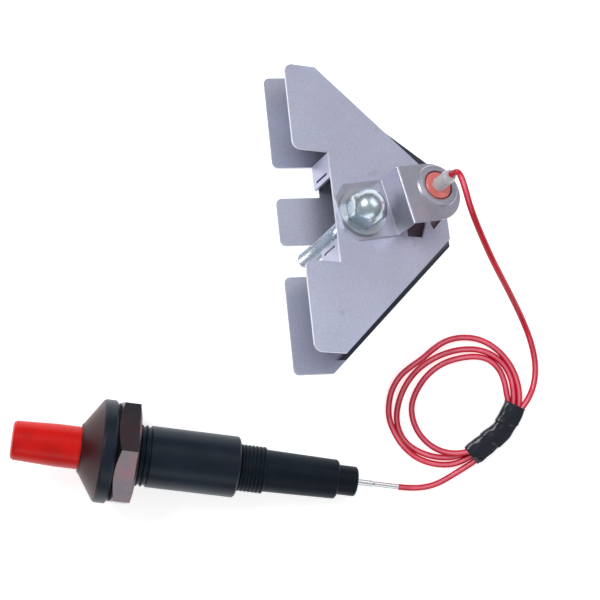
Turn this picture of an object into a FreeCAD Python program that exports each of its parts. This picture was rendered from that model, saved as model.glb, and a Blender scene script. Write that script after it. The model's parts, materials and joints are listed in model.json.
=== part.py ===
import FreeCAD, Part
import math
import os

# Push-button piezo igniter, its high-tension lead and the electrode in its sheet-steel gas collector.
# Millimetres. Z is up, the kit lies on a bench at Z = 0, and the origin is under the middle of the
# hard parts (the lead and what is crimped on it are left out of that middle).

Vec = FreeCAD.Vector

# --- Igniter, stations measured along its axis from the tip of the button -----------------------
IGNITER_TIP = (-78.05, -53.97)   # where the button's tip lies over the bench
IGNITER_YAW = -7.9               # degrees, from +X
BUTTON_TIP_R = 7.0
BUTTON_R = 7.6
BUTTON_END = 32.0
BEZEL_FRONT = 24.0
BEZEL_NOSE_R = 8.6
FLANGE_FRONT = 30.6
FLANGE_BACK = 35.4
FLANGE_R = 18.4
BARREL_R = 11.0
BARREL_BORE_R = 8.6
BARREL_END = 80.5
THREAD_END = 48.0
THREAD_PITCH = 1.75
THREAD_DEPTH = 0.7
WASHER_FRONT = 35.5
WASHER_T = 0.35
NUT_FRONT = 35.9
NUT_T = 7.85
NUT_AF = 34.8
NUT_TURN = 21.6                  # degrees, how the nut happens to stand
NUT_BORE_R = BARREL_R + 0.06
COLLAR_R = 8.4
COLLAR_END = 90.5
COLLAR_RINGS = 7
REAR_FRONT_R = 7.6
REAR_R = 7.1
REAR_END = 117.3
STUB_R = 5.4
STUB_END = 124.6
FERRULE_END = 140.5
FERRULE_R = 1.35

# --- Striker inside the igniter ------------------------------------------------------------------
GUIDE_R = 5.0
GUIDE_BORE_R = 3.6
GUIDE_FRONT = 43.0
GUIDE_END = 73.0
SPRING_SEAT = 55.0
HAMMER_R = 3.5
HAMMER_FRONT = 55.0
HAMMER_L = 12.0
STRIKE_TRAVEL = 5.7
TRIP_PIN_R = 1.0
PAD_R = 4.0
PAD_T = 2.0
CRYSTAL_R = 3.2
CRYSTAL_L = 14.0
OUTPUT_PIN_R = 0.6

# --- Lead ----------------------------------------------------------------------------------------
LEAD_D = 2.25
LEAD_REST = 1.15                 # height of the lead's centre where it lies on the bench

# --- Gas collector: U runs from the mouth to the apex, V across, W out of the front plate --------
COLLECTOR_AT = (42.25, 26.83)      # the front plate's middle, over the bench
TILT = 33.8                      # degrees, the front plate's normal from upright
TILT_TOWARDS = 39.2              # degrees from +X, the way it leans
SHEET = 0.9
PLATE_ROLL = 1.1                 # degrees, about the front plate's normal
HALF_HEIGHT = 53.4
MOUTH_U = -21.3
NECK_U = -7.8
APEX_U = 37.0
APEX_LOW = -8.3                  # V of the cut-off apex's two corners
APEX_HIGH = 11.9
WING_TOP = 11.9
NOTCH_HALF = 20.7
MOUTH_DEPTH = 18.0               # over both sheets, at the mouth
APEX_DEPTH = 1.9
BACK_BORDER_HIGH = 4.3           # how far the back plate stands out past the front one's diagonals
BACK_BORDER_LOW = 1.8
BACK_HALF_HEIGHT = 56.1
TAB_HALF = 8.9
FLAP_INNER = 11.5
CORNER_R = 3.0

# --- Bolt and electrode bracket ------------------------------------------------------------------
BOLT_U = 1.8
BOLT_V = -2.0
BOLT_R = 3.1
BOLT_L = 47.6
BOLT_AF = 11.1                   # of the nut between the plates
BOLT_HEAD_AF = 12.4
BOLT_HEAD_T = 9.6
SLOT_RUN = 24.0                  # depth of bolt seen through the back plate's open slot
GROOVE_DEPTH = 13.1              # thread run-out, just behind the back plate
WASHER_OD = 17.5
FLAT_WASHER_T = 1.6
BRACKET_T = 1.0
BRACKET_TURN = 11.6              # degrees, swung about the bolt
BRACKET_HALF = 10.5
BRACKET_MID = 0.8
BRACKET_LEFT = -8.6
RISER_X = 13.2
PLATFORM_TOP = 12.0
PLATFORM_END_X = 24.1
ELECTRODE_X = 26.35
ELECTRODE_Y = 2.65
CERAMIC_R = 4.9
CERAMIC_BODY_R = 3.2
ROD_R = 0.8
SLEEVE_R = 2.5
SLEEVE_END = 21.5


def revolve(points):
    """Solid of revolution about local Z from (radius, station) pairs."""
    corners = [Vec(r, 0, s) for r, s in points]
    wire = Part.makePolygon(corners + [corners[0]])
    return Part.Face(wire).revolve(Vec(0, 0, 0), Vec(0, 0, 1), 360)


def tube(r_out, r_in, start, end):
    return revolve([(r_in, start), (r_out, start), (r_out, end), (r_in, end)])


def rod(radius, start, end):
    return Part.makeCylinder(radius, end - start, Vec(0, 0, start))


def prism(points, low, high):
    """Flat outline of (x, y) pairs, thick from low to high."""
    corners = [Vec(x, y, low) for x, y in points]
    wire = Part.makePolygon(corners + [corners[0]])
    return Part.Face(wire).extrude(Vec(0, 0, high - low))


def hexagon(across_flats, low, high, turn=0.0):
    radius = across_flats / math.sqrt(3)
    angles = [math.radians(turn + 60 * k) for k in range(6)]
    return prism([(radius * math.cos(a), radius * math.sin(a)) for a in angles], low, high)


def round_upright_edges(shape, corners, radius):
    """Fillets the edges that stand along local Z at the given (x, y) corners."""
    picked = []
    for edge in shape.Edges:
        a, b = edge.Vertexes[0].Point, edge.Vertexes[-1].Point
        upright = math.hypot(a.x - b.x, a.y - b.y) < 1e-6
        if upright and any(math.hypot(a.x - x, a.y - y) < 1e-3 for x, y in corners):
            picked.append(edge)
    return shape.makeFillet(radius, picked)


def spring(mean_r, wire_r, start, end, turns):
    """Closed-end coil spring about local Z."""
    rise = end - start - 2 * wire_r
    helix = Part.makeLongHelix(rise / turns, rise, mean_r)
    profile = Part.Wire(Part.makeCircle(wire_r, Vec(mean_r, 0, 0), Vec(0, 1, 0)))
    coil = Part.Wire(helix.Edges).makePipeShell([profile], True, True)
    coil.translate(Vec(0, 0, start + wire_r))
    return coil


# --- Where the two halves lie --------------------------------------------------------------------
def igniter_pitch():
    """Nose-up angle of an igniter that lies on the nut's lowest corner and on its tail."""
    low_corner = NUT_AF / math.sqrt(3) * math.cos(math.radians(30 - NUT_TURN))
    run = REAR_END - (NUT_FRONT + NUT_T)
    return math.atan((low_corner - REAR_R) / run)


def igniter_placement():
    pitch = igniter_pitch()
    yaw = math.radians(IGNITER_YAW)
    along = Vec(math.cos(pitch) * math.cos(yaw), math.cos(pitch) * math.sin(yaw), -math.sin(pitch))
    side = Vec(math.sin(yaw), -math.cos(yaw), 0)
    turn = FreeCAD.Rotation(side, along.cross(side), along, "ZXY")
    height = REAR_R * math.cos(pitch) + REAR_END * math.sin(pitch)
    return FreeCAD.Placement(Vec(IGNITER_TIP[0], IGNITER_TIP[1], height), turn)


def collector_rotation():
    lean = math.radians(TILT_TOWARDS)
    axis = Vec(-math.sin(lean), math.cos(lean), 0)
    return FreeCAD.Rotation(axis, TILT) * FreeCAD.Rotation(Vec(0, 0, 1), PLATE_ROLL)


def collector_placement():
    """Stands the collector on the tip of its bolt."""
    turn = collector_rotation()
    tip = turn.multVec(Vec(BOLT_U, BOLT_V, -bolt_tip_depth()))
    rim = BOLT_R * 0.55 * math.sin(math.radians(TILT))
    return FreeCAD.Placement(Vec(COLLECTOR_AT[0], COLLECTOR_AT[1], rim - tip.z), turn)


def bolt_tip_depth():
    return BOLT_L - BRACKET_T - FLAT_WASHER_T


# --- Igniter -------------------------------------------------------------------------------------
def push_button():
    skirt = BUTTON_END - 2.7
    shell = revolve([(0, 0), (BUTTON_TIP_R - 1.6, 0.0), (BUTTON_TIP_R - 0.5, 0.35), (BUTTON_TIP_R, 1.2),
                     (BUTTON_R, BEZEL_FRONT - 8.5), (BUTTON_R, skirt), (8.5, skirt), (8.5, BUTTON_END),
                     (5.4, BUTTON_END), (5.4, 2.2), (0, 2.2)])
    plunger = rod(3.2, 2.0, GUIDE_FRONT - 2.0)
    return shell.fuse(plunger).removeSplitter()


def igniter_barrel():
    outline = [(BUTTON_R + 0.1, BEZEL_FRONT), (BEZEL_NOSE_R, BEZEL_FRONT), (BEZEL_NOSE_R + 0.5, BEZEL_FRONT + 0.6),
               (FLANGE_R - 1.3, FLANGE_FRONT - 0.6), (FLANGE_R - 0.4, FLANGE_FRONT),
               (FLANGE_R, FLANGE_FRONT + 0.8), (FLANGE_R, FLANGE_BACK - 0.6),
               (FLANGE_R - 0.6, FLANGE_BACK), (BARREL_R - THREAD_DEPTH, FLANGE_BACK)]
    turns = int((THREAD_END - FLANGE_BACK) / THREAD_PITCH)
    for k in range(turns):
        base = FLANGE_BACK + 0.3 + k * THREAD_PITCH
        outline += [(BARREL_R - THREAD_DEPTH, base), (BARREL_R, base + 0.55),
                    (BARREL_R, base + 0.85), (BARREL_R - THREAD_DEPTH, base + 1.4)]
    outline += [(BARREL_R - THREAD_DEPTH, THREAD_END), (BARREL_R, THREAD_END + 0.7),
                (BARREL_R, BARREL_END - 0.6), (BARREL_R - 0.6, BARREL_END),
                (BARREL_BORE_R, BARREL_END), (BARREL_BORE_R, BUTTON_END - 3.0), (BUTTON_R + 0.1, BUTTON_END - 3.0)]
    return revolve(outline)


def mounting_washer():
    return tube(15.5, BARREL_R + 0.06, WASHER_FRONT, WASHER_FRONT + WASHER_T)


def mounting_nut():
    end = NUT_FRONT + NUT_T
    corner = NUT_AF / math.sqrt(3)
    blank = hexagon(NUT_AF, NUT_FRONT, end, NUT_TURN)
    turned = revolve([(0, NUT_FRONT), (NUT_AF / 2, NUT_FRONT), (corner + 0.2, NUT_FRONT + 1.6),
                      (corner + 0.2, end - 0.7), (NUT_AF / 2, end - 0.7), (NUT_AF / 2 - 0.4, end), (0, end)])
    bore = revolve([(0, NUT_FRONT - 1), (NUT_BORE_R + 1.4, NUT_FRONT - 1), (NUT_BORE_R, NUT_FRONT + 0.6),
                    (NUT_BORE_R, end - 0.6), (NUT_BORE_R + 1.4, end + 1), (0, end + 1)])
    return blank.common(turned).cut(bore)


def return_spring():
    return spring(7.3, 0.4, BUTTON_END, SPRING_SEAT, 6)


def hammer_spring():
    return spring(2.6, 0.35, GUIDE_FRONT - 2.0, HAMMER_FRONT, 6)


def hammer_guide():
    body = revolve([(GUIDE_BORE_R, GUIDE_FRONT), (GUIDE_R, GUIDE_FRONT), (GUIDE_R, SPRING_SEAT),
                    (8.45, SPRING_SEAT), (8.45, SPRING_SEAT + 1.6), (GUIDE_R, SPRING_SEAT + 1.6),
                    (GUIDE_R, GUIDE_END), (GUIDE_BORE_R, GUIDE_END)])
    slot_start = HAMMER_FRONT + HAMMER_L / 2 - TRIP_PIN_R - 0.2
    slot_l = STRIKE_TRAVEL + 2 * TRIP_PIN_R + 0.4
    slot = Part.makeBox(2 * GUIDE_R + 2, 2 * TRIP_PIN_R + 0.3, slot_l,
                        Vec(-GUIDE_R - 1, -TRIP_PIN_R - 0.15, slot_start))
    return body.cut(slot)


def hammer():
    end = HAMMER_FRONT + HAMMER_L
    body = revolve([(0, HAMMER_FRONT), (HAMMER_R, HAMMER_FRONT), (HAMMER_R, end - 1.5), (1.8, end), (0, end)])
    hole = Part.makeCylinder(TRIP_PIN_R, 10, Vec(-5, 0, HAMMER_FRONT + HAMMER_L / 2), Vec(1, 0, 0))
    return body.cut(hole)


def trip_pin():
    return Part.makeCylinder(TRIP_PIN_R, 9.6, Vec(-4.8, 0, HAMMER_FRONT + HAMMER_L / 2), Vec(1, 0, 0))


def rear_housing():
    """Plug inside the barrel, ribbed collar and slim tail in one moulding."""
    plug_front = GUIDE_END - 2.0
    outline = [(BARREL_BORE_R - 0.05, plug_front), (BARREL_BORE_R - 0.05, BARREL_END + 0.1),
               (COLLAR_R, BARREL_END + 0.1)]
    pitch = (COLLAR_END - BARREL_END - 0.4) / COLLAR_RINGS
    for k in range(COLLAR_RINGS):
        base = BARREL_END + 0.3 + k * pitch
        outline += [(COLLAR_R - 0.45, base), (COLLAR_R - 0.45, base + 0.35),
                    (COLLAR_R, base + 0.55), (COLLAR_R, base + pitch - 0.2)]
    outline += [(COLLAR_R - 0.4, COLLAR_END), (REAR_FRONT_R, COLLAR_END), (REAR_R, REAR_END - 0.5),
                (REAR_R - 0.5, REAR_END)]
    pads_end = GUIDE_END + 2 * PAD_T + CRYSTAL_L
    outline += [(OUTPUT_PIN_R + 0.03, REAR_END), (OUTPUT_PIN_R + 0.03, pads_end), (PAD_R + 0.05, pads_end),
                (PAD_R + 0.05, GUIDE_END), (GUIDE_R + 0.03, GUIDE_END), (GUIDE_R + 0.03, plug_front)]
    return revolve(outline)


def terminal_insulator():
    return revolve([(OUTPUT_PIN_R + 0.03, REAR_END), (STUB_R, REAR_END), (STUB_R, STUB_END - 0.5),
                    (STUB_R - 0.5, STUB_END), (OUTPUT_PIN_R + 0.03, STUB_END)])


def output_pin():
    start = GUIDE_END + 2 * PAD_T + CRYSTAL_L
    return rod(OUTPUT_PIN_R, start, FERRULE_END - 9.5)


def igniter_ferrule():
    """Crimped tube on the lead's end, pushed on the igniter's pin."""
    step = FERRULE_END - 9.5
    return revolve([(OUTPUT_PIN_R + 0.03, STUB_END), (FERRULE_R, STUB_END), (FERRULE_R, step),
                    (FERRULE_R - 0.2, step + 0.4), (FERRULE_R - 0.2, FERRULE_END), (0, FERRULE_END),
                    (0, step + 0.2), (OUTPUT_PIN_R + 0.03, step + 0.2)])


# --- Lead: straight runs joined by tangent arcs --------------------------------------------------
def rounded_path(points):
    """Wire through the points, each corner an arc of 0.45 of its shorter run; also its radii."""
    edges = []
    radii = []
    start = points[0]
    for before, corner, after in zip(points, points[1:], points[2:]):
        back = (before - corner).normalize()
        ahead = (after - corner).normalize()
        half_turn = (math.pi - back.getAngle(ahead)) / 2
        cut = 0.45 * min(before.distanceToPoint(corner), after.distanceToPoint(corner))
        radius = cut / math.tan(half_turn)
        enter = corner + back * cut
        leave = corner + ahead * cut
        inward = (back + ahead).normalize()
        middle = corner + inward * (radius / math.cos(half_turn) - radius)
        edges.append(Part.LineSegment(start, enter).toShape())
        edges.append(Part.Arc(enter, middle, leave).toShape())
        radii.append(radius)
        start = leave
    edges.append(Part.LineSegment(start, points[-1]).toShape())
    return Part.Wire(edges), radii


def lead_tube(points, name):
    path, radii = rounded_path(points)
    first = (points[1] - points[0]).normalize()
    section = Part.Wire(Part.makeCircle(LEAD_D / 2, points[0], first))
    solid = path.makePipeShell([section], True, False)
    share = solid.Volume / (math.pi * LEAD_D ** 2 / 4 * path.Length)
    print(name, "length", round(path.Length, 1), "volume share", round(share, 4),
          "radii", [round(r, 1) for r in radii])
    return solid


def electrode_lead_route():
    """From the sleeve on the electrode, over and down to the bench, into the tape's upper end."""
    place = collector_placement()
    exit_point = place.multVec(electrode_point(SLEEVE_END))
    outward = collector_rotation().multVec(Vec(0, 0, 1))
    return [exit_point, exit_point + outward * 3.8] + [Vec(*p) for p in (
        (78.2, 37.1, 48.2), (79.6, 32.8, 48.0), (81.4, 27.2, 45.4), (84.9, 19.6, 39.6),
        (90.9, 8.6, 29.9), (97.7, -2.0, 18.4), (103.7, -12.0, 7.6), (107.7, -20.6, 2.2),
        (109.7, -28.6, LEAD_REST), (109.1, -35.6, LEAD_REST), (106.3, -41.4, LEAD_REST + 0.4),
        (103.7, -43.9, LEAD_REST + 0.6))]


def igniter_lead_route():
    """From the ferrule, along the bench and into the tape's lower end."""
    place = igniter_placement()
    ferrule = place.multVec(Vec(0, 0, FERRULE_END))
    beyond = place.multVec(Vec(0, 0, FERRULE_END + 6.0))
    return [ferrule, beyond] + [Vec(*p) for p in (
        (72.7, -72.6, LEAD_REST), (79.7, -68.6, LEAD_REST), (85.1, -64.0, LEAD_REST + 0.4))]


TAPE_LOW = Vec(85.9, -61.6, 0)
TAPE_KINK = Vec(97.2, -52.4, 0)
TAPE_TOP = Vec(101.8, -43.3, 0)
TAPE_HALF_W = 4.1
TAPE_H = 5.0
COIL_H = 4.6


def coil_tape():
    """Band of tape round the four strands."""
    path, radii = rounded_path([TAPE_LOW, TAPE_KINK, TAPE_TOP])
    along = (TAPE_KINK - TAPE_LOW).normalize()
    across = along.cross(Vec(0, 0, 1))
    low_h, high_h, edge = 0.05, TAPE_H, 1.4
    spots = [(-TAPE_HALF_W, low_h + edge), (-TAPE_HALF_W + edge, low_h), (TAPE_HALF_W - edge, low_h),
             (TAPE_HALF_W, low_h + edge), (TAPE_HALF_W, high_h - edge), (TAPE_HALF_W - edge, high_h),
             (-TAPE_HALF_W + edge, high_h), (-TAPE_HALF_W, high_h - edge)]
    corners = [TAPE_LOW + across * a + Vec(0, 0, h) for a, h in spots]
    section = Part.makePolygon(corners + [corners[0]])
    return path.makePipeShell([section], True, False)


def lead_coil():
    """Outer shape of the loose turns, open where the tape holds them."""
    low_side = (TAPE_KINK - TAPE_LOW).normalize().cross(Vec(0, 0, 1))
    top_side = (TAPE_TOP - TAPE_KINK).normalize().cross(Vec(0, 0, 1))
    outer_low = TAPE_LOW + low_side * 0.1
    outer_top = TAPE_TOP + top_side * 0.8
    inner_low = TAPE_LOW - low_side * 4.0
    inner_top = TAPE_TOP - top_side * 4.0
    outer = Part.BSplineCurve()
    outer.interpolate([outer_low, Vec(74.2, -65.6, 0), Vec(61.2, -58.6, 0), Vec(55.1, -46.9, 0),
                       Vec(59.2, -34.0, 0), Vec(70.2, -23.4, 0), Vec(83.7, -17.7, 0),
                       Vec(96.5, -21.6, 0), Vec(102.2, -31.2, 0), outer_top])
    inner = Part.BSplineCurve()
    inner.interpolate([inner_top, Vec(96.1, -33.0, 0), Vec(86.6, -26.1, 0), Vec(74.2, -30.8, 0),
                       Vec(63.0, -44.9, 0), Vec(68.1, -56.0, 0), inner_low])
    wire = Part.Wire([outer.toShape(), Part.LineSegment(outer_top, inner_top).toShape(),
                      inner.toShape(), Part.LineSegment(inner_low, outer_low).toShape()])
    coil = Part.Face(wire).extrude(Vec(0, 0, COIL_H))
    coil.translate(Vec(0, 0, 0.05))
    return coil


# --- Gas collector -------------------------------------------------------------------------------
def plate_outline(borders, half_height, notches, mouth):
    """Bow-tie half: wings at the mouth, diagonals to the cut-off apex, notches between the wings.

    borders widens the plate past the front plate's low and high diagonals, and notches holds the
    (low, high) span in V of each opening in the mouth edge."""
    wing_end = MOUTH_U + WING_TOP
    run = APEX_U - wing_end
    fall_high = (HALF_HEIGHT - APEX_HIGH) / run
    fall_low = (HALF_HEIGHT + APEX_LOW) / run
    rise_high = borders[1] * math.sqrt(1 + fall_high ** 2)
    rise_low = borders[0] * math.sqrt(1 + fall_low ** 2)
    top_u = wing_end + (HALF_HEIGHT + rise_high - half_height) / fall_high
    bottom_u = wing_end + (HALF_HEIGHT + rise_low - half_height) / fall_low
    points = [(mouth, -half_height), (bottom_u, -half_height), (APEX_U, APEX_LOW - rise_low),
              (APEX_U, APEX_HIGH + rise_high), (top_u, half_height), (mouth, half_height)]
    for low, high in sorted(notches, reverse=True):
        points += [(mouth, high), (NECK_U, high), (NECK_U, low), (mouth, low)]
    return points


def electrode_uv():
    turn = math.radians(BRACKET_TURN)
    u = BOLT_U + ELECTRODE_X * math.cos(turn) - ELECTRODE_Y * math.sin(turn)
    v = BOLT_V + ELECTRODE_X * math.sin(turn) + ELECTRODE_Y * math.cos(turn)
    return u, v


def electrode_point(height):
    u, v = electrode_uv()
    return Vec(u, v, height)


def depth_at(u):
    """Depth over both sheets at U."""
    return APEX_DEPTH + (MOUTH_DEPTH - APEX_DEPTH) * (APEX_U - u) / (APEX_U - MOUTH_U)


def spark_window():
    """Opening under the electrode, with the earth tongue left standing in it."""
    window = prism([(19.9, -8.8), (27.6, -8.8), (34.4, -1.4), (34.4, 3.6), (28.0, 13.0), (19.9, 13.0)], -3, 3)
    tongue = prism([(25.4, -9.8), (27.8, -3.4), (28.4, 0.8), (30.2, 0.8), (29.8, -3.2), (31.8, -7.6)], -4, 4)
    return window.cut(tongue)


def neck_flap(sign):
    """Wall bent down from the neck edge to the back plate, with a relief slit."""
    deep = depth_at(NECK_U) - SHEET - 0.15
    low = min(sign * FLAP_INNER, sign * NOTCH_HALF)
    wall = Part.makeBox(SHEET, NOTCH_HALF - FLAP_INNER, deep, Vec(NECK_U, low, -deep))
    slit_v = sign * (FLAP_INNER + 2.2)
    slit = Part.makeBox(3, 0.9, deep - 5, Vec(NECK_U - 1, slit_v - 0.45, -deep + 2))
    return wall.cut(slit)


def collector_front():
    outline = plate_outline((0, 0), HALF_HEIGHT, [(-NOTCH_HALF, NOTCH_HALF)], MOUTH_U)
    plate = prism(outline, -SHEET, 0)
    outer = [(MOUTH_U, s * HALF_HEIGHT) for s in (-1, 1)] + [(MOUTH_U, s * NOTCH_HALF) for s in (-1, 1)]
    plate = round_upright_edges(plate, outer, CORNER_R)
    plate = plate.cut(spark_window())
    plate = plate.cut(Part.makeCylinder(BOLT_R + 0.25, 4, Vec(BOLT_U, BOLT_V, -2)))
    walls = neck_flap(1).fuse(neck_flap(-1))
    return plate.fuse(walls).removeSplitter()


def bolt_slot(bolt_u):
    """Open slot from the bolt down to the lower notch, so that the bolt can be slipped in sideways."""
    radius = BOLT_R + 0.3
    end_u, end_v = bolt_u - 0.455 * SLOT_RUN, BOLT_V - 0.41 * SLOT_RUN
    length = math.hypot(end_u - bolt_u, end_v - BOLT_V)
    slot = Part.makeCylinder(radius, 4).fuse(Part.makeBox(length, 2 * radius, 4, Vec(0, -radius, 0)))
    slot.rotate(Vec(0, 0, 0), Vec(0, 0, 1), math.degrees(math.atan2(end_v - BOLT_V, end_u - bolt_u)))
    slot.translate(Vec(bolt_u, BOLT_V, -2))
    return slot


def collector_back():
    """Larger back plate, sloping away from the front plate between the apex and the mouth."""
    slope = math.atan((MOUTH_DEPTH - APEX_DEPTH) / (APEX_U - MOUTH_U))
    long_mouth = APEX_U - (APEX_U - MOUTH_U) / math.cos(slope)
    notches = [(-NOTCH_HALF, -TAB_HALF), (TAB_HALF, NOTCH_HALF)]
    borders = (BACK_BORDER_LOW, BACK_BORDER_HIGH)
    plate = prism(plate_outline(borders, BACK_HALF_HEIGHT, notches, long_mouth), -SHEET, 0)
    rounded = [(long_mouth, s * v) for s in (-1, 1) for v in (BACK_HALF_HEIGHT, NOTCH_HALF, TAB_HALF)]
    plate = round_upright_edges(plate, rounded, CORNER_R * 0.7)
    bolt_u = APEX_U - (APEX_U - BOLT_U) / math.cos(slope)
    plate = plate.cut(bolt_slot(bolt_u))
    plate.rotate(Vec(APEX_U, 0, 0), Vec(0, 1, 0), -math.degrees(slope))
    plate.translate(Vec(0, 0, -APEX_DEPTH + SHEET))
    return plate


def electrode_bracket():
    """Z-shaped strap in its own frame: X from the bolt to the electrode, Z off the front plate."""
    low, high = BRACKET_MID - BRACKET_HALF, BRACKET_MID + BRACKET_HALF
    cut = 5.0
    base = prism([(BRACKET_LEFT + cut, low), (RISER_X, low), (RISER_X, high), (BRACKET_LEFT + cut, high),
                  (BRACKET_LEFT, high - cut), (BRACKET_LEFT, low + cut)], 0, BRACKET_T)
    riser = Part.makeBox(BRACKET_T, high - low, PLATFORM_TOP, Vec(RISER_X - BRACKET_T, low, 0))
    underside = PLATFORM_TOP - BRACKET_T
    shelf = Part.makeBox(PLATFORM_END_X - RISER_X + BRACKET_T, high - low, BRACKET_T,
                         Vec(RISER_X - BRACKET_T, low, underside))
    nose = Part.makeCylinder(BRACKET_HALF, BRACKET_T, Vec(PLATFORM_END_X, BRACKET_MID, underside))
    strap = base.fuse(riser).fuse(shelf).fuse(nose).removeSplitter()
    strap = round_bends(strap)
    collar = revolve([(5.5, 0), (8.1, 0), (7.5, 0.55), (6.2, 0.7), (5.5, 0.7)])
    collar.translate(Vec(ELECTRODE_X, ELECTRODE_Y, PLATFORM_TOP))
    collar = collar.common(Part.makeCylinder(BRACKET_HALF - 0.3, 30, Vec(PLATFORM_END_X, BRACKET_MID, 0)))
    strap = strap.fuse(collar)
    strap = strap.cut(Part.makeCylinder(5.5, 6, Vec(ELECTRODE_X, ELECTRODE_Y, underside - 2)))
    return strap.cut(Part.makeCylinder(BOLT_R + 0.2, 4, Vec(0, 0, -1)))


def round_bends(strap):
    """Rounds the two outer and then the two inner bend lines of the riser."""
    outer = ((RISER_X, 0.0), (RISER_X - BRACKET_T, PLATFORM_TOP))
    inner = ((RISER_X - BRACKET_T, BRACKET_T), (RISER_X, PLATFORM_TOP - BRACKET_T))
    for spots, radius in ((outer, 0.9), (inner, 0.5)):
        picked = []
        for edge in strap.Edges:
            a, b = edge.Vertexes[0].Point, edge.Vertexes[-1].Point
            level = abs(a.x - b.x) < 1e-6 and abs(a.z - b.z) < 1e-6 and abs(a.y - b.y) > 5
            if level and any(math.hypot(a.x - x, a.z - z) < 1e-3 for x, z in spots):
                picked.append(edge)
        strap = strap.makeFillet(radius, picked)
    return strap


def clamp_bolt():
    """Hexagon bolt with a high domed head; local Z = 0 is the front plate's face."""
    seat = BRACKET_T + FLAT_WASHER_T
    tip = -bolt_tip_depth()
    corner = BOLT_HEAD_AF / math.sqrt(3)
    top = seat + BOLT_HEAD_T
    head = hexagon(BOLT_HEAD_AF, seat, top, 20)
    dome = revolve([(0, seat), (corner + 0.1, seat), (corner + 0.1, top - 5.0), (BOLT_HEAD_AF / 2 - 0.2, top - 4.2),
                    (5.6, top - 3.0), (4.8, top - 1.8), (3.5, top - 0.75), (1.8, top - 0.15), (0, top)])
    shank = revolve([(0, tip), (BOLT_R * 0.55, tip), (BOLT_R, tip + 1.3), (BOLT_R, -GROOVE_DEPTH - 0.9),
                     (BOLT_R - 0.35, -GROOVE_DEPTH - 0.6), (BOLT_R - 0.35, -GROOVE_DEPTH - 0.3),
                     (BOLT_R, -GROOVE_DEPTH), (BOLT_R, seat + 0.5), (0, seat + 0.5)])
    return head.common(dome).fuse(shank).removeSplitter()


def bolt_washer():
    return tube(WASHER_OD / 2, BOLT_R + 0.15, BRACKET_T, BRACKET_T + FLAT_WASHER_T)


def clamp_nut():
    low, high = -SHEET - 5.5, -SHEET
    return hexagon(BOLT_AF, low, high, 10).cut(Part.makeCylinder(BOLT_R + 0.05, 8, Vec(0, 0, low - 1)))


def electrode_ceramic():
    return revolve([(ROD_R + 0.05, -1.6), (CERAMIC_BODY_R - 0.3, -1.6), (CERAMIC_BODY_R, -1.3),
                    (CERAMIC_BODY_R, 6.0), (CERAMIC_R, 7.0), (CERAMIC_R, 9.4), (6.4, 9.6),
                    (6.4, PLATFORM_TOP - BRACKET_T), (CERAMIC_R, PLATFORM_TOP - BRACKET_T),
                    (CERAMIC_R, PLATFORM_TOP + 0.5), (CERAMIC_R - 0.4, PLATFORM_TOP + 0.8),
                    (ROD_R + 0.05, PLATFORM_TOP + 0.8)])


def electrode_rod():
    return revolve([(0, -3.2), (0.4, -3.2), (ROD_R, -2.7), (ROD_R, 18.0), (0, 18.0)])


def terminal_clip():
    return revolve([(ROD_R + 0.04, 14.4), (1.5, 14.4), (1.5, 19.5), (0, 19.5), (0, 18.1), (ROD_R + 0.04, 18.1)])


def terminal_sleeve():
    base = PLATFORM_TOP + 0.8
    return revolve([(1.55, base), (SLEEVE_R, base), (SLEEVE_R, 19.6), (SLEEVE_R - 0.6, SLEEVE_END),
                    (0.9, SLEEVE_END), (0.9, 19.6), (1.55, 19.6)])


def build():
    """Every node by name, in the part's own frame."""
    igniter = {
        "push_button": push_button(), "igniter_barrel": igniter_barrel(),
        "mounting_washer": mounting_washer(), "mounting_nut": mounting_nut(),
        "return_spring": return_spring(), "hammer_spring": hammer_spring(),
        "hammer_guide": hammer_guide(), "hammer": hammer(), "trip_pin": trip_pin(),
        "impact_pad": rod(PAD_R, GUIDE_END, GUIDE_END + PAD_T),
        "piezo_crystal": rod(CRYSTAL_R, GUIDE_END + PAD_T, GUIDE_END + PAD_T + CRYSTAL_L),
        "contact_pad": rod(PAD_R, GUIDE_END + PAD_T + CRYSTAL_L, GUIDE_END + 2 * PAD_T + CRYSTAL_L),
        "rear_housing": rear_housing(), "terminal_insulator": terminal_insulator(),
        "output_pin": output_pin(), "igniter_ferrule": igniter_ferrule()}
    collector = {"collector_front": collector_front(), "collector_back": collector_back()}
    bolted = {"electrode_bracket": electrode_bracket(), "clamp_bolt": clamp_bolt(),
              "bolt_washer": bolt_washer(), "clamp_nut": clamp_nut()}
    electrode = {"electrode_ceramic": electrode_ceramic(), "electrode_rod": electrode_rod(),
                 "terminal_clip": terminal_clip(), "terminal_sleeve": terminal_sleeve()}
    for name, shape in bolted.items():
        shape.rotate(Vec(0, 0, 0), Vec(0, 0, 1), BRACKET_TURN)
        shape.translate(Vec(BOLT_U, BOLT_V, 0))
    for name, shape in electrode.items():
        shape.translate(electrode_point(0))
    nodes = {}
    for name, shape in igniter.items():
        nodes[name] = placed(shape, igniter_placement())
    for group in (collector, bolted, electrode):
        for name, shape in group.items():
            nodes[name] = placed(shape, collector_placement())
    nodes["lead_electrode_side"] = lead_tube(electrode_lead_route(), "lead_electrode_side")
    nodes["lead_igniter_side"] = lead_tube(igniter_lead_route(), "lead_igniter_side")
    nodes["lead_coil"] = lead_coil()
    nodes["coil_tape"] = coil_tape()
    return nodes


def placed(shape, placement):
    moved = shape.copy()
    moved.transformShape(placement.toMatrix())
    return moved


def main():
    os.makedirs("parts", exist_ok=True)
    for name, shape in build().items():
        solid = shape.Solids[0] if len(shape.Solids) == 1 else shape
        print(name, "valid", solid.isValid(), "solids", len(shape.Solids), "volume", round(solid.Volume, 1))
        solid.exportStep("parts/" + name + ".step")


if __name__ == "__main__":
    main()
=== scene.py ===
import json
import math
from itertools import pairwise

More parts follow.
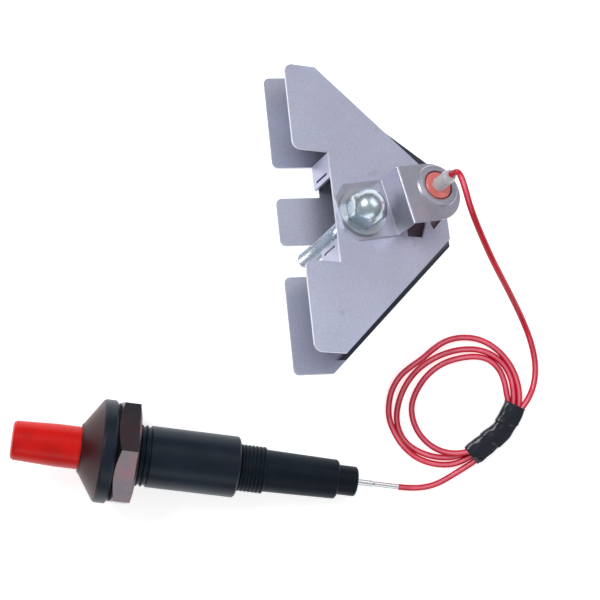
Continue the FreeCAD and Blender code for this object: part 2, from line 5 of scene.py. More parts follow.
import bmesh
import bpy
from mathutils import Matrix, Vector


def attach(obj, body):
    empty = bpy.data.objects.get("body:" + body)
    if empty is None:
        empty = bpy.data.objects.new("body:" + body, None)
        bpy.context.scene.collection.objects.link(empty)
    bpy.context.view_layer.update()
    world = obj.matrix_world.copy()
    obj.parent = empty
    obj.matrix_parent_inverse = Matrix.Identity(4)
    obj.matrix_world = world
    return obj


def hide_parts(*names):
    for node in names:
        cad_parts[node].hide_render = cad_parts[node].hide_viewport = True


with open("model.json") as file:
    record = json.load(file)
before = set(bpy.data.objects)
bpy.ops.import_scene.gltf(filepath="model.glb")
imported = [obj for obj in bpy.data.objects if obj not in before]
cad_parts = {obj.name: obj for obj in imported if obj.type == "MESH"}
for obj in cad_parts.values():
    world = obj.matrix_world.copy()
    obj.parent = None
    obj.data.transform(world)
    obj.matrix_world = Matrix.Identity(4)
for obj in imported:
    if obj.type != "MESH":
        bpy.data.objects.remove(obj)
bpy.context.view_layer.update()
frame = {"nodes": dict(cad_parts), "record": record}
NODES = frame["nodes"]
MOUNTS = {m["name"]: m for m in frame["record"]["mounts"]}
BOLT = MOUNTS["burner_bolt"]
BARREL = MOUNTS["panel_barrel"]
MM = 0.001
UP = Vector((0, 0, 1))

# --- The collector's frame -----------------------------------------------------------------------
# PLATE_UP stands out of the front plate, PLATE_U points along the sheet to the apex, PLATE_V across it
FACE_TO_FREE_END = 14.0         # down the bolt, from the plate's face to the start of its free length
APEX_HEADING = Vector((0.99982, 0.0192, 0))
PLATE_UP = -Vector(BOLT["axis"]).normalized()
PLATE_U = UP.rotation_difference(PLATE_UP) @ APEX_HEADING
PLATE_V = PLATE_UP.cross(PLATE_U)
BOLT_FREE = BOLT["dims"]["length_mm"] * MM
# Where the bolt's axis comes out of the front plate
PLATE_FACE = Vector(BOLT["pos_m"]) + PLATE_UP * (FACE_TO_FREE_END * MM + BOLT_FREE / 2)

# --- The igniter's frame -------------------------------------------------------------------------
# IGN_AXIS runs from the button to the tail
FLANGE_TO_BARREL_MID = 28.9
IGN_AXIS = Vector(BARREL["axis"]).normalized()
FLANGE_BACK = Vector(BARREL["pos_m"]) - IGN_AXIS * FLANGE_TO_BARREL_MID * MM

# --- Camera, light and surroundings --------------------------------------------------------------
CAMERA_PLACE = (0.02335, -0.00487, 0.665)
CAMERA_LENS = 108.9
CAMERA_SENSOR = 36.0
CAMERA_NEAR = 0.05
WORLD_STRENGTH = 0.40
WORLD_BLUE = 1.02
# How bright the surroundings are, from the horizon and below to straight above
WORLD_STOPS = ((0.0, 0.55), (0.16, 0.22), (0.34, 0.60), (0.62, 0.95), (1.0, 1.0))


def make_camera():
    """Straight above the bench, looking down."""
    cam = bpy.data.cameras.new("camera")
    cam.sensor_width = CAMERA_SENSOR
    cam.lens = CAMERA_LENS
    cam.clip_start = CAMERA_NEAR
    obj = bpy.data.objects.new("camera", cam)
    bpy.context.scene.collection.objects.link(obj)
    obj.location = CAMERA_PLACE
    bpy.context.scene.camera = obj


def make_world():
    """A studio with a dark band just over the horizon and a bright ceiling."""
    world = bpy.data.worlds.new("studio")
    bpy.context.scene.world = world
    world.use_nodes = True
    tree = world.node_tree
    back = tree.nodes["Background"]
    back.inputs["Strength"].default_value = WORLD_STRENGTH
    coord = tree.nodes.new("ShaderNodeTexCoord")
    split = tree.nodes.new("ShaderNodeSeparateXYZ")
    ramp = tree.nodes.new("ShaderNodeValToRGB")
    tree.links.new(coord.outputs["Generated"], split.inputs[0])
    tree.links.new(split.outputs["Z"], ramp.inputs[0])
    tree.links.new(ramp.outputs[0], back.inputs["Color"])
    fill_ramp(ramp, [(at, (level, level, level * WORLD_BLUE)) for at, level in WORLD_STOPS])


def fill_ramp(ramp_node, stops):
    """Put (position, colour) stops on a colour ramp."""
    elements = ramp_node.color_ramp.elements
    while len(elements) < len(stops):
        elements.new(0.5)
    for element, (at, colour) in zip(elements, stops):
        element.position = at
        element.color = (*colour, 1)


def area_light(name, place, target, size, power, colour=(1, 1, 1)):
    light = bpy.data.lights.new(name, "AREA")
    light.shape = "RECTANGLE"
    light.size, light.size_y = size
    light.energy = power
    light.color = colour
    obj = bpy.data.objects.new(name, light)
    bpy.context.scene.collection.objects.link(obj)
    obj.location = place
    aim = Vector(target) - Vector(place)
    obj.rotation_euler = aim.to_track_quat("-Z", "Y").to_euler()


make_camera()
make_world()
bpy.context.scene.view_settings.view_transform = "Standard"
area_light("key", place=(-0.30, 0.40, 0.80), target=(0.02, 0.0, 0.0), size=(0.45, 0.30), power=3.6)
area_light("fill", place=(0.50, 0.40, 0.55), target=(0.03, 0.02, 0.02), size=(0.5, 0.4), power=0.9,
           colour=(0.96, 0.98, 1.0))
area_light("front", place=(0.10, -0.60, 0.45), target=(0.0, 0.0, 0.01), size=(0.7, 0.25), power=0.8)


# --- Materials -----------------------------------------------------------------------------------
EDGE_FACING = 0.6           # below this share of the sheet's normal, a face counts as a cut edge
SOFT_SAMPLES = 8            # rays for crevices
ROUND_SAMPLES = 6           # rays for rounded edges


class Mat:
    """A procedural material: one principled shader with a few noise layers behind it."""

    def __init__(self, name, colour, rough, **more):
        self.mat = bpy.data.materials.new(name)
        self.mat.use_nodes = True
        self.tree = self.mat.node_tree
        self.shader = self.tree.nodes["Principled BSDF"]
        self.shader.inputs["Roughness"].default_value = rough
        self.shader.inputs["Base Color"].default_value = (*colour, 1)
        for key, value in more.items():
            self.shader.inputs[key.replace("_", " ")].default_value = value
        coord = self.tree.nodes.new("ShaderNodeTexCoord")
        self.place = coord.outputs["Object"]

    def node(self, kind, **values):
        made = self.tree.nodes.new(kind)
        for key, value in values.items():
            setattr(made, key, value)
        return made

    def link(self, a, b):
        self.tree.links.new(a, b)

    def feed(self, sockets, values):
        """Give each socket its number, its colour or the output that drives it."""
        for socket, value in zip(sockets, values):
            if isinstance(value, (int, float)):
                socket.default_value = value
            elif isinstance(value, tuple):
                socket.default_value = (*value, 1)
            else:
                self.link(value, socket)

    def noise(self, scale, detail=3.0, rough=0.55, stretch=None, turn=(0, 0, 0)):
        made = self.node("ShaderNodeTexNoise")
        made.inputs["Scale"].default_value = scale
        made.inputs["Detail"].default_value = detail
        made.inputs["Roughness"].default_value = rough
        if stretch is None:
            self.link(self.place, made.inputs["Vector"])
        else:
            mapping = self.node("ShaderNodeMapping")
            mapping.inputs["Scale"].default_value = stretch
            mapping.inputs["Rotation"].default_value = turn
            self.link(self.place, mapping.inputs["Vector"])
            self.link(mapping.outputs[0], made.inputs["Vector"])
        return made.outputs["Fac"]

    def ramp(self, source, stops):
        made = self.node("ShaderNodeValToRGB")
        fill_ramp(made, stops)
        self.link(source, made.inputs[0])
        return made.outputs[0]

    def math(self, kind, *values):
        made = self.node("ShaderNodeMath", operation=kind)
        self.feed(made.inputs, values)
        return made.outputs[0]

    def mix(self, factor, a, b, blend="MIX"):
        made = self.node("ShaderNodeMixRGB", blend_type=blend)
        self.feed(made.inputs, (factor, a, b))
        return made.outputs[0]

    def remap(self, source, start, end, low=0.0, high=1.0):
        """Runs from low to high while the source runs from start to end."""
        made = self.node("ShaderNodeMapRange")
        for key, value in (("From Min", start), ("From Max", end), ("To Min", low), ("To Max", high)):
            made.inputs[key].default_value = value
        self.link(source, made.inputs["Value"])
        return made.outputs[0]

    def colour(self, source):
        self.link(source, self.shader.inputs["Base Color"])

    def rough(self, source, low, high):
        self.link(self.remap(source, 0.0, 1.0, low, high), self.shader.inputs["Roughness"])

    def bump(self, source, depth, strength, edge_radius=None):
        """Relief of the given depth in metres, on edges rounded by a small radius."""
        made = self.node("ShaderNodeBump")
        made.inputs["Distance"].default_value = depth
        made.inputs["Strength"].default_value = strength
        self.link(source, made.inputs["Height"])
        if edge_radius is not None:
            bevel = self.node("ShaderNodeBevel", samples=ROUND_SAMPLES)
            bevel.inputs["Radius"].default_value = edge_radius
            self.link(bevel.outputs[0], made.inputs["Normal"])
        self.link(made.outputs[0], self.shader.inputs["Normal"])

    def along(self, axis, origin):
        """Distance in metres along an axis from a point, over the object's own space."""
        dot = self.node("ShaderNodeVectorMath", operation="DOT_PRODUCT")
        dot.inputs[1].default_value = axis
        self.link(self.place, dot.inputs[0])
        return self.math("SUBTRACT", dot.outputs["Value"], Vector(axis).dot(origin))

    def cut_edge(self, axis, height, low, high):
        """1 on the sheared edges of a sheet whose normal is given, between two heights along it."""
        geometry = self.node("ShaderNodeNewGeometry")
        dot = self.node("ShaderNodeVectorMath", operation="DOT_PRODUCT")
        dot.inputs[1].default_value = axis
        self.link(geometry.outputs["True Normal"], dot.inputs[0])
        square = self.math("LESS_THAN", self.math("ABSOLUTE", dot.outputs["Value"]), EDGE_FACING)
        above = self.math("GREATER_THAN", height, low)
        below = self.math("LESS_THAN", height, high)
        return self.math("MULTIPLY", square, self.math("MULTIPLY", above, below))

    def painted_crevice_shade(self, reach):
        """Mask for painted shade: 1 in the open, falling to 0 where another surface stands close."""
        made = self.node("ShaderNodeAmbientOcclusion", samples=SOFT_SAMPLES)
        made.inputs["Distance"].default_value = reach
        return made.outputs["AO"]

    def graze(self, blend):
        """0 where the surface faces the viewer, 1 at its rim: the mask for painted sheen, highlight and
        shade.
        """
        made = self.node("ShaderNodeLayerWeight")
        made.inputs["Blend"].default_value = blend
        return made.outputs["Facing"]


def scaled(tint, factor):
    return tuple(min(1.0, c * factor) for c in tint)


SPECK_SHARE = 0.42
MARK_SHARE = 0.30
MARK_TINT = (0.34, 0.33, 0.42)
SHADE_FALL = 1.4            # how fast a crevice opens up to full light
# Painted highlight: the near-white colour put on the sheets' sheared edges
EDGE_HIGHLIGHT_TINT = (0.90, 0.90, 0.96)
# Painted shade: colour of the dark bands along the back plate's diagonals
PAINTED_SHADE_TINT = (0.016, 0.021, 0.034)
BAND_FADE = 1.5             # over how many millimetres a dark band comes in
BAND_HALF_SPAN = 49.5       # how far to either side of the bolt the bands run


def sheet_metal(name, tint, rough, highlight_band, grain=(1, 1, 1), shade=None, edge_highlight=0.65, shade_bands=()):
    """Galvanised sheet: soft cloud, fine speckle, a few small marks and painted highlights on sheared edges.

    The edge band: the heights, over the front plate's face, whose cut edges get a painted highlight.
    shade is how far the painted shade in crevices reaches and how dark it gets. Each band of painted shade
    is an outward direction, the distance from the bolt where it starts, and its depth of colour.
    """
    m = Mat(name, tint, rough, Metallic=0.55)
    cloud = m.noise(38.0, 4.0)
    fine = m.noise(1500.0, 3.0, 0.7)
    streak = m.noise(260.0, 3.0, stretch=grain)
    base = m.ramp(cloud, ((0.30, scaled(tint, 0.88)), (0.70, scaled(tint, 1.07))))
    speck = m.ramp(fine, ((0.34, scaled(tint, 0.78)), (0.66, scaled(tint, 1.14))))
    base = m.mix(SPECK_SHARE, base, speck)
    mark = m.ramp(m.noise(135.0, 2.0, 0.4), ((0.715, (0, 0, 0)), (0.745, (1, 1, 1))))
    base = m.mix(m.math("MULTIPLY", mark, MARK_SHARE), base, MARK_TINT)
    # Painted shade: the colour darkens where another surface stands close
    if shade is not None:
        reach, floor_level = shade
        open_air = m.math("POWER", m.painted_crevice_shade(reach), SHADE_FALL)
        base = m.mix(open_air, scaled(tint, floor_level), base)
    # Painted shade bands along the back plate's diagonals
    for outward, start, depth in shade_bands:
        beyond = m.remap(m.along(outward, PLATE_FACE), start * MM, (start + BAND_FADE) * MM, 0.0, depth)
        aside = m.math("ABSOLUTE", m.along(PLATE_V, PLATE_FACE))
        within = m.math("LESS_THAN", aside, BAND_HALF_SPAN * MM)
        base = m.mix(m.math("MULTIPLY", beyond, within), base, PAINTED_SHADE_TINT)
    # Painted highlight: the sheared edges are mixed towards near white
    height = m.along(PLATE_UP, PLATE_FACE)
    edge = m.cut_edge(PLATE_UP, height, highlight_band[0] * MM, highlight_band[1] * MM)
    m.colour(m.mix(m.math("MULTIPLY", edge, edge_highlight), base, EDGE_HIGHLIGHT_TINT))
    m.rough(streak, rough - 0.06, rough + 0.10)
    m.bump(m.math("ADD", m.math("MULTIPLY", fine, 0.7), streak), 0.00002, 0.5, 0.00018)
    return m.mat


def zinc(name, tint, rough, drift=0.25, other=None):
    """Plated or bright metal whose tint drifts, up to another tint, under a fine tooled grain."""
    m = Mat(name, tint, rough, Metallic=0.95)
    cloud = m.noise(130.0, 3.0)
    fine = m.noise(1500.0, 3.0)
    red, green, blue = tint
    cooler = (red * 0.82, green * 0.98, blue)
    warmer = other or (red * 1.05, green * 0.94, blue * 1.02)
    shade = m.ramp(cloud, ((0.35, cooler), (0.5, tint), (0.68, warmer)))
    m.colour(m.mix(drift, tint, shade))
    m.rough(fine, rough - 0.05, rough + 0.10)
    m.bump(fine, 0.000015, 0.4, 0.0002)
    return m.mat


def plastic(name, colour, rough, gloss=0.22, coat=0.0, painted_sheen=None, glow=None):
    """Moulded plastic; glow paints the red button's reflection along the igniter: (near, far, colour)."""
    m = Mat(name, colour, rough, Coat_Weight=coat, Coat_Roughness=0.15, Specular_IOR_Level=gloss)
    fine = m.noise(900.0, 3.0)
    cloud = m.noise(60.0, 3.0)
    shade = m.ramp(cloud, ((0.35, scaled(colour, 0.80)), (0.65, scaled(colour, 1.15))))
    # Painted sheen: a bluish tint towards the rim
    if painted_sheen is not None:
        shade = m.mix(m.math("MULTIPLY", m.graze(0.35), 0.55), shade, painted_sheen)
    # Painted reflection of the red button on the bezel's cone
    if glow is not None:
        near, far, tint = glow
        shade = m.mix(m.remap(m.along(IGN_AXIS, FLANGE_BACK), far, near), shade, tint)
    m.colour(shade)
    m.rough(fine, rough - 0.06, rough + 0.08)
    m.bump(fine, 0.00001, 0.5, 0.00025)
    return m.mat


def silicone_lead():
    """Translucent red silicone: painted pink highlight on the crown, painted deep red shade at its sides."""
    m = Mat("lead_silicone", (0.80, 0.02, 0.06), 0.24, Coat_Weight=0.25, Coat_Roughness=0.08,
            Specular_IOR_Level=0.30, Subsurface_Weight=0.08, Subsurface_Scale=0.001)
    # Painted highlight, pink on the crown, and painted shade, deep red on the sides, by how the surface faces
    # the viewer
    across = m.ramp(m.graze(0.5), ((0.0, (1.00, 0.290, 0.390)), (0.05, (0.96, 0.120, 0.190)),
                                   (0.18, (0.76, 0.016, 0.046)), (0.80, (0.52, 0.002, 0.016))))
    patch = m.ramp(m.noise(110.0, 2.0), ((0.35, (0.80, 0.62, 0.66)), (0.65, (1.0, 1.0, 1.0))))
    m.colour(m.mix(1.0, across, patch, "MULTIPLY"))
    fine = m.noise(1400.0, 2.0)
    m.rough(fine, 0.16, 0.30)
    m.bump(fine, 0.00001, 0.4)
    return m.mat


def vinyl_tape():
    m = Mat("vinyl_tape", (0.008, 0.011, 0.020), 0.24, Coat_Weight=0.35, Coat_Roughness=0.12,
            Specular_IOR_Level=0.35)
    wrinkle = m.noise(330.0, 3.0, 0.5, stretch=(0.8, 2.6, 1.0), turn=(0, 0, 0.7))
    lump = m.noise(150.0, 2.0)
    m.colour(m.ramp(lump, ((0.35, (0.004, 0.007, 0.014)), (0.7, (0.014, 0.018, 0.034)))))
    m.rough(wrinkle, 0.16, 0.36)
    m.bump(m.math("ADD", m.math("MULTIPLY", wrinkle, 0.5), lump), 0.00022, 0.55)
    return m.mat


def ceramic():
    m = Mat("ceramic_glaze", (0.80, 0.24, 0.17), 0.32, Coat_Weight=0.3, Coat_Roughness=0.2)
    cloud = m.noise(240.0, 4.0)
    m.colour(m.ramp(cloud, ((0.3, (0.74, 0.16, 0.15)), (0.7, (0.88, 0.24, 0.22)))))
    m.rough(cloud, 0.26, 0.42)
    m.bump(m.noise(1800.0, 2.0), 0.00002, 0.4, 0.0002)
    return m.mat


def clear_sleeve():
    m = Mat("sleeve_silicone", (0.90, 0.90, 0.93), 0.28, IOR=1.41, Transmission_Weight=0.45)
    cloud = m.noise(300.0, 3.0)
    m.colour(m.ramp(cloud, ((0.3, (0.84, 0.84, 0.88)), (0.7, (0.95, 0.95, 0.97)))))
    m.rough(cloud, 0.22, 0.36)
    m.bump(m.noise(1200.0, 2.0), 0.00002, 0.4)
    return m.mat


def floor_paper():
    m = Mat("floor_paper", (0.93, 0.93, 0.93), 0.9, Emission_Color=(1, 1, 1, 1), Emission_Strength=0.62)
    m.colour(m.ramp(m.noise(9.0, 2.0), ((0.3, (0.925, 0.925, 0.93)), (0.7, (0.935, 0.935, 0.935)))))
    return m.mat


def in_sheet(degrees):
    """A direction in the front plate's plane, turned away from the apex."""
    turn = math.radians(degrees)
    return PLATE_U * math.cos(turn) + PLATE_V * math.sin(turn)


# Painted shade: dark bands along the back plate's two diagonals
PAINTED_SHADE_BANDS = ((in_sheet(-45.8), 28.7, 0.94), (in_sheet(48.2), 33.6, 0.94))
# A painted reflection of the red button on the cone of the bezel: where it is full and where it ends, in
# metres along the igniter from the flange's back, and its colour
BUTTON_GLOW = (-0.0065, -0.0035, (0.050, 0.009, 0.012))
BLACK = (0.008, 0.015, 0.026)
# Painted sheen at the rim of the black plastics
BLACK_PAINTED_SHEEN = (0.020, 0.045, 0.080)
TAIL_PAINTED_SHEEN = (0.012, 0.028, 0.050)
BRASS_PAD = (0.78, 0.60, 0.28)
BOLT_MAT = zinc("bolt_zinc", (0.62, 0.69, 0.76), 0.26, drift=0.8)
TAPE_MAT = vinyl_tape()
MATERIALS = {
    "push_button": plastic("button_red", (0.70, 0.008, 0.006), 0.34, gloss=0.18, coat=0.06),
    "igniter_barrel": plastic("barrel_black", BLACK, 0.34, painted_sheen=BLACK_PAINTED_SHEEN, glow=BUTTON_GLOW),
    "rear_housing": plastic("tail_black", (0.006, 0.011, 0.018), 0.45, gloss=0.12, painted_sheen=TAIL_PAINTED_SHEEN),
    "terminal_insulator": plastic("stub_black", (0.006, 0.010, 0.016), 0.42, gloss=0.12,
                                  painted_sheen=TAIL_PAINTED_SHEEN),
    "mounting_washer": zinc("washer_dark_plate", (0.12, 0.11, 0.12), 0.34),
    "mounting_nut": zinc("nut_dark_plate", (0.15, 0.118, 0.132), 0.20, drift=0.9, other=(0.20, 0.10, 0.12)),
    "igniter_ferrule": zinc("ferrule_tin", (0.80, 0.80, 0.82), 0.22),
    "collector_front": sheet_metal("front_sheet", (0.58, 0.60, 0.76), 0.40, highlight_band=(-0.95, 0.05)),
    # Painted shade on the back sheet: in its crevices and in bands along its diagonals
    "collector_back": sheet_metal("back_sheet", (0.50, 0.52, 0.64), 0.38, highlight_band=(-25, 0),
                                  grain=(0.4, 6, 6), shade=(0.016, 0.10), edge_highlight=0.6, shade_bands=PAINTED_SHADE_BANDS),
    "electrode_bracket": sheet_metal("bracket_sheet", (0.46, 0.46, 0.55), 0.30, highlight_band=(-0.05, 1.05)),
    "clamp_bolt": BOLT_MAT,
    "coil_tape": TAPE_MAT,
    "bolt_washer": zinc("flat_washer_zinc", (0.50, 0.54, 0.58), 0.34, drift=0.6),
    "clamp_nut": zinc("clamp_nut_zinc", (0.50, 0.54, 0.58), 0.28),
    "electrode_ceramic": ceramic(),
    "electrode_rod": zinc("rod_alloy", (0.55, 0.53, 0.50), 0.35),
    "terminal_clip": zinc("clip_brass", (0.80, 0.62, 0.30), 0.28),
    "terminal_sleeve": clear_sleeve(),
    "return_spring": zinc("return_spring_wire", (0.52, 0.52, 0.55), 0.25),
    "hammer_spring": zinc("hammer_spring_wire", (0.50, 0.50, 0.52), 0.25),
    "hammer_guide": plastic("guide_nylon", (0.72, 0.72, 0.68), 0.45),
    "hammer": zinc("hammer_steel", (0.45, 0.45, 0.47), 0.30),
    "trip_pin": zinc("trip_pin_steel", (0.55, 0.55, 0.57), 0.25),
    "impact_pad": zinc("impact_pad_brass", BRASS_PAD, 0.30),
    "contact_pad": zinc("contact_pad_brass", BRASS_PAD, 0.30),
    "piezo_crystal": plastic("crystal_ceramic", (0.22, 0.21, 0.20), 0.55),
    "output_pin": zinc("output_pin_brass", (0.80, 0.66, 0.34), 0.25),
}
for node, material in MATERIALS.items():
    mesh = NODES[node].data
    if not mesh.materials:
        mesh.materials.append(material)
    for k in range(len(mesh.materials)):
        mesh.materials[k] = material


def link_piece(name, data, material, body):
    """Put a new piece in the scene, on the body that carries it."""
    obj = bpy.data.objects.new(name, data)
    bpy.context.scene.collection.objects.link(obj)
    data.materials.append(material)
    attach(obj, body)
    return obj


# --- Lead: one line from the electrode's sleeve to the igniter's ferrule, in millimetres ----------
LEAD_D = 2.25 * MM
LEAD_STEPS = 12             # along each stretch between two points
LEAD_ROUND = 6              # how finely its section is rounded
LIE = 1.15                  # height of its middle where it lies on the bench

# Out of the sleeve, over and down to the bench, up to the upper end of the tape
TO_TAPE = [
    (75.21, 38.14, 42.43), (76.85, 39.48, 45.59), (78.2, 37.1, 48.2), (79.6, 32.8, 48.0), (81.4, 27.2, 45.4),
    (84.9, 19.6, 39.6), (90.9, 8.6, 29.9), (97.9, -2.0, 18.4), (104.0, -12.0, 7.6), (107.9, -20.6, 2.2),
    (109.6, -28.6, LIE), (109.0, -35.6, 1.6), (106.6, -41.0, 3.4)]
# Four passes under the tape, in the order the lead makes them
PASSES = [
    [(103.9, -44.6, 3.7), (101.2, -49.4, 3.8), (97.6, -53.2, 3.85), (90.6, -57.6, 3.85)],
    [(99.6, -42.1, 1.35), (98.2, -46.8, 1.35), (95.3, -50.7, 1.35), (89.8, -55.7, 1.35), (84.9, -60.1, 1.35)],
    [(101.5, -43.4, 1.35), (100.0, -48.0, 1.35), (97.2, -52.3, 1.35), (91.8, -57.2, 1.35),
     (86.3, -61.9, 1.35)],
    [(103.5, -44.3, 1.35), (102.0, -49.0, 1.35), (99.1, -53.9, 1.35), (93.8, -58.7, 1.35),
     (87.9, -63.4, 1.35)]]
# Three loose turns of different size: small, middle, large
TURNS = [
    [(84.6, -60.3, 3.80), (79.3, -60.9, 3.40), (74.5, -60.0, 2.40), (70.2, -57.5, 1.50), (66.6, -53.6, LIE),
     (64.4, -48.4, LIE), (64.0, -43.2, LIE), (66.0, -37.7, LIE), (69.9, -32.1, LIE), (75.4, -28.0, LIE),
     (81.8, -26.0, LIE), (87.9, -25.4, LIE), (92.7, -26.6, LIE), (96.5, -30.4, LIE), (98.3, -35.3, 1.20),
     (98.9, -39.4, 1.30)],
    [(80.3, -62.4, 1.30), (73.3, -62.5, 1.20), (67.2, -60.7, LIE), (61.8, -57.1, LIE), (59.1, -52.0, LIE),
     (58.5, -46.6, LIE), (60.0, -39.9, LIE), (63.2, -33.8, LIE), (67.3, -29.4, LIE), (72.3, -26.1, LIE),
     (77.6, -23.9, LIE), (83.0, -22.8, LIE), (88.5, -22.9, LIE), (93.6, -24.7, LIE), (97.9, -28.3, LIE),
     (100.5, -32.9, 1.20), (101.4, -38.0, 1.30)],
    [(80.0, -65.0, 1.20), (73.3, -65.2, 1.20), (66.6, -63.1, 1.80), (61.4, -58.9, 3.10), (58.0, -53.9, 2.90),
     (55.8, -48.4, 1.40), (55.7, -43.2, LIE), (56.8, -37.7, 1.40), (59.7, -32.6, 2.20), (63.8, -29.1, 3.20),
     (68.1, -26.2, 3.10), (71.7, -23.0, 1.80), (76.4, -19.8, LIE), (82.1, -18.4, LIE), (88.2, -18.9, LIE),
     (93.6, -21.4, LIE), (98.5, -25.9, LIE), (102.0, -31.7, 1.20), (103.6, -38.2, 1.30)]]
# From the lower end of the tape along the bench to the igniter's ferrule
TO_IGNITER = [(79.7, -68.6, LIE), (72.7, -72.6, 1.3), (64.92, -73.81, 2.00), (59.06, -73.00, 3.02)]


def lead_points():
    """The whole route in metres, turn after turn through the tape."""
    points = list(TO_TAPE)
    for under_tape, turn in zip(PASSES, TURNS):
        points += under_tape + turn
    points += PASSES[-1] + TO_IGNITER
    return [Vector(p) * MM for p in points]


def make_lead(points):
    """One open NURBS line with a round section."""
    curve = bpy.data.curves.new("lead", "CURVE")
    curve.dimensions = "3D"
    curve.resolution_u = LEAD_STEPS
    curve.bevel_depth = LEAD_D / 2
    curve.bevel_resolution = LEAD_ROUND
    curve.use_fill_caps = True
    spline = curve.splines.new("NURBS")
    spline.points.add(len(points) - 1)
    for spot, point in zip(spline.points, points):
        spot.co = (*point, 1)
    spline.order_u = 3
    spline.use_endpoint_u = True
    lead = link_piece("lead", curve, silicone_lead(), "frame")
    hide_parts("lead_electrode_side", "lead_coil", "lead_igniter_side")
    return lead


def line_length(curve_object):
    """Length of the lead's own line, measured on the curve with no bevel."""
    copy = curve_object.data.copy()
    copy.bevel_depth = 0.0
    holder = bpy.data.objects.new("line", copy)
    mesh = bpy.data.meshes.new_from_object(holder)
    line = [v.co.copy() for v in mesh.vertices]
    bpy.data.objects.remove(holder)
    bpy.data.curves.remove(copy)
    bpy.data.meshes.remove(mesh)
    return sum((b - a).length for a, b in pairwise(line))


# --- Tape: a band wound round the four strands, in millimetres ------------------------------------
TAPE_LINE = [(85.7, -61.75), (91.4, -57.1), (95.9, -53.4), (98.3, -50.3), (99.9, -47.2), (101.9, -43.1)]
TAPE_SAMPLES = 16         # along each stretch of the line
TAPE_SIDES = 56
TAPE_RUN = 27.4           # length from end to end
TAPE_HALF_WIDTH = 4.0
TAPE_HALF_HEIGHT = 2.38
TAPE_MIDDLE = 2.52        # height of its middle over the bench
TAPE_SWELL = 3.4          # radius that the layers and wrinkles are measured on
WIDTH_POWER = 0.60
HEIGHT_POWER = 0.50
PINCH = (15.5, 4.5, 0.15)       # where, over what stretch and how deep its waist is
CROWN = (0.3, 1.3, 0.35)        # where, how wide and how high the strand on top pushes it up
END_TAPER = (0.25, 0.8)         # how far each end draws in, and over what stretch
WRAP_PITCH = 8.6
WRAP_SLANT = 0.035
WRAP_EDGE = 0.04
LAYER_T = 0.26
# Height, then how fast it goes round along the tape and across it, and where it starts
WRINKLES = ((0.05, 0.9, 2.0, 0.0), (0.03, 1.6, -2.6, 1.0))
TAPE_CLEARANCE = 0.06     # its lowest point over the bench


def lofted(name, rings):
    """Closed mesh through a list of rings with equal point counts."""
    bm = bmesh.new()
    rows = [[bm.verts.new(p) for p in ring] for ring in rings]
    count = len(rings[0])
    for a, b in pairwise(rows):
        for k in range(count):
            bm.faces.new((a[k], a[(k + 1) % count], b[(k + 1) % count], b[k]))
    bm.faces.new(rows[0][::-1])
    bm.faces.new(rows[-1])
    bmesh.ops.recalc_face_normals(bm, faces=bm.faces)
    data = bpy.data.meshes.new(name)
    bm.to_mesh(data)
    bm.free()
    for face in data.polygons:
        face.use_smooth = True
    return data


def smooth_line(points, steps):
    """Even samples of a Catmull-Rom line through plan points, in metres."""
    ends = [points[0]] + list(points) + [points[-1]]
    out = []
    for k in range(1, len(ends) - 2):
        a, b, c, d = (Vector((*ends[k + i - 1], 0)) for i in range(4))
        for i in range(steps):
            t = i / steps
            out.append(0.5 * ((2 * b) + (c - a) * t + (2 * a - 5 * b + 4 * c - d) * t * t
                              + (3 * b - a - 3 * c + d) * t ** 3) * MM)
    out.append(Vector((*points[-1], 0)) * MM)
    return out


def hill(value, middle, spread):
    """1 at the middle, falling away smoothly to either side."""
    return math.exp(-((value - middle) / spread) ** 2)


def signed_power(value, power):
    return math.copysign(abs(value) ** power, value)


def layer_height(reach, across):
    """The wound layers: each turn starts with a step and thins out to the next."""
    wrap = (reach / WRAP_PITCH - across * WRAP_SLANT) % 1.0
    if wrap > WRAP_EDGE:
        return LAYER_T * (1 - wrap)
    return LAYER_T * wrap / WRAP_EDGE


def wrinkle_height(reach, across):
    """Shallow slanting folds where the tape was pulled."""
    return sum(height * math.sin(along * reach + over * across + start)
               for height, along, over, start in WRINKLES)


def tape_ring(point, side, reach):
    """One cross-section: a rounded box, with the layers, wrinkles and crown on it."""
    waist_at, waist_spread, waist_depth = PINCH
    crown_at, crown_spread, crown_height = CROWN
    draw, draw_run = END_TAPER
    half_width = TAPE_HALF_WIDTH - waist_depth * hill(reach, waist_at, waist_spread)
    end_in = draw * math.exp(-reach / draw_run) + draw * math.exp(-(TAPE_RUN - reach) / draw_run)
    ring = []
    for i in range(TAPE_SIDES):
        angle = 2 * math.pi * i / TAPE_SIDES
        c, n = math.cos(angle), math.sin(angle)
        across = half_width * signed_power(c, WIDTH_POWER)
        up = TAPE_HALF_HEIGHT * signed_power(n, HEIGHT_POWER)
        grow = 1 + (layer_height(reach, across) + wrinkle_height(reach, across) - end_in) / TAPE_SWELL
        crown = crown_height * hill(across, crown_at, crown_spread) if n > 0 else 0.0
        height = max(TAPE_CLEARANCE, TAPE_MIDDLE + up * grow + crown * abs(n))
        ring.append(point + side * across * grow * MM + Vector((0, 0, height * MM)))
    return ring


def make_tape():
    """Glossy band, pulled in between the strands, with slanting wrap edges and pulled wrinkles."""
    line = smooth_line(TAPE_LINE, TAPE_SAMPLES)
    rings = []
    run = 0.0
    for k, point in enumerate(line):
        if k:
            run += (point - line[k - 1]).length
        ahead = line[min(k + 1, len(line) - 1)] - line[max(k - 1, 0)]
        ahead.normalize()
        rings.append(tape_ring(point, ahead.cross(UP), run / MM))
    tape = link_piece("tape_wound", lofted("tape_wound", rings), TAPE_MAT, "frame")
    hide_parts("coil_tape")
    return tape


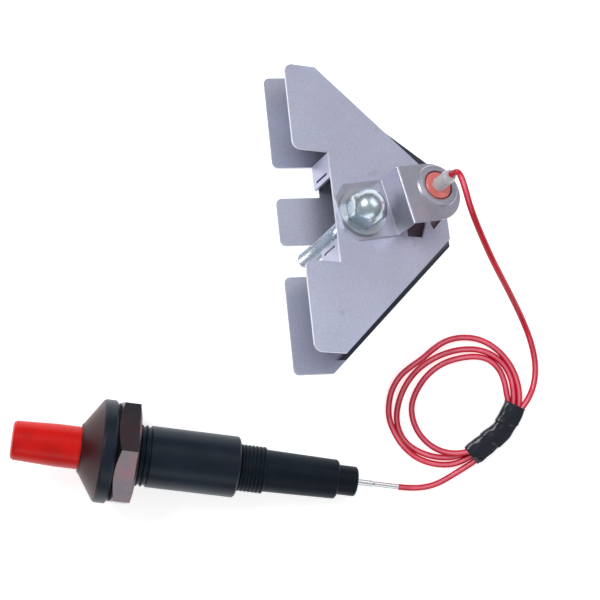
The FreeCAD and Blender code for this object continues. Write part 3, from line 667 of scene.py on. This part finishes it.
# --- Clamp bolt: domed hexagon head and a rolled thread, heights over the front plate's face ------
BOLT_SIDES = 72
BOLT_ANGLES = [2 * math.pi * k / BOLT_SIDES for k in range(BOLT_SIDES)]
BOLT_X = UP.rotation_difference(PLATE_UP) @ Vector((1, 0, 0))
BOLT_Y = PLATE_UP.cross(BOLT_X)
HEAD_SEAT = 2.6
HEAD_TOP = 12.2
HEAD_HALF_FLATS = 6.2
HEAD_TURN = math.radians(32.7)
HEAD_FOOT = ((0.0, 6.6), (0.35, 7.1))       # height over the seat, radius
# Depth under the top, radius: the corners are turned off into a dome
HEAD_DOME = ((5.2, 7.1), (4.5, 6.7), (3.9, 6.15), (3.3, 5.75), (2.5, 5.25), (1.8, 4.7), (1.2, 4.05),
             (0.7, 3.3), (0.35, 2.5), (0.12, 1.5), (0.02, 0.7), (0.0, 0.2))
BOLT_TIP = -45.0
TIP_R = 1.7
TIP_FLARE = 1.1
THREAD_CREST_R = BOLT["dims"]["r_mm"]
THREAD_PITCH = 1.27
THREAD_DEPTH = 0.62
RIDGE_HALF = 0.42           # half the foot of a ridge, as a share of the pitch
RIDGE_FLAT = 1.25           # above 1, the crest is cut flat
THREAD_SAMPLE = 0.115


def bolt_ring(height, radii):
    """Points round the bolt's axis, with one radius for each of BOLT_ANGLES."""
    centre = PLATE_FACE + PLATE_UP * height * MM
    return [centre + (BOLT_X * math.cos(a) + BOLT_Y * math.sin(a)) * r * MM
            for a, r in zip(BOLT_ANGLES, radii)]


def hexagon(angle):
    """Radius of the head's hexagon at an angle."""
    step = math.radians(60)
    return HEAD_HALF_FLATS / math.cos((angle - HEAD_TURN) % step - step / 2)


def thread_radius(height, angle):
    """Radius of the threaded shank, which narrows to its tip."""
    phase = (height / THREAD_PITCH - angle / (2 * math.pi)) % 1.0
    ridge = max(0.0, 1 - abs(phase - 0.5) / RIDGE_HALF)
    body = THREAD_CREST_R - THREAD_DEPTH + THREAD_DEPTH * min(1.0, ridge * RIDGE_FLAT)
    return min(body, TIP_R + (height - BOLT_TIP) * TIP_FLARE)


def make_bolt():
    """The head sits on the flat washer, and the thread runs to the tip."""
    profile = [(HEAD_SEAT + up, radius) for up, radius in HEAD_FOOT]
    profile += [(HEAD_TOP - down, radius) for down, radius in HEAD_DOME]
    head_rows = [bolt_ring(height, [min(hexagon(a), radius) for a in BOLT_ANGLES])
                 for height, radius in profile]
    head = link_piece("bolt_head", lofted("bolt_head", head_rows), BOLT_MAT, "frame")

    shank_rows = []
    height = BOLT_TIP
    while height < HEAD_SEAT:
        shank_rows.append(bolt_ring(height, [thread_radius(height, a) for a in BOLT_ANGLES]))
        height += THREAD_SAMPLE
    shank = link_piece("bolt_shank", lofted("bolt_shank", shank_rows), BOLT_MAT, "frame")
    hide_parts("clamp_bolt")
    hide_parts("clamp_bolt")


def make_floor():
    """The bench: a square sheet of paper."""
    half = 3
    corners = [(-half, -half, 0), (half, -half, 0), (half, half, 0), (-half, half, 0)]
    mesh = bpy.data.meshes.new("floor")
    mesh.from_pydata(corners, [], [(0, 1, 2, 3)])
    mesh.materials.append(floor_paper())
    obj = bpy.data.objects.new("floor", mesh)
    bpy.context.scene.collection.objects.link(obj)
    return obj


LEAD_LINE = lead_points()
lead = make_lead(LEAD_LINE)
LEAD_LENGTH = line_length(lead)
tape = make_tape()
make_bolt()
floor = make_floor()
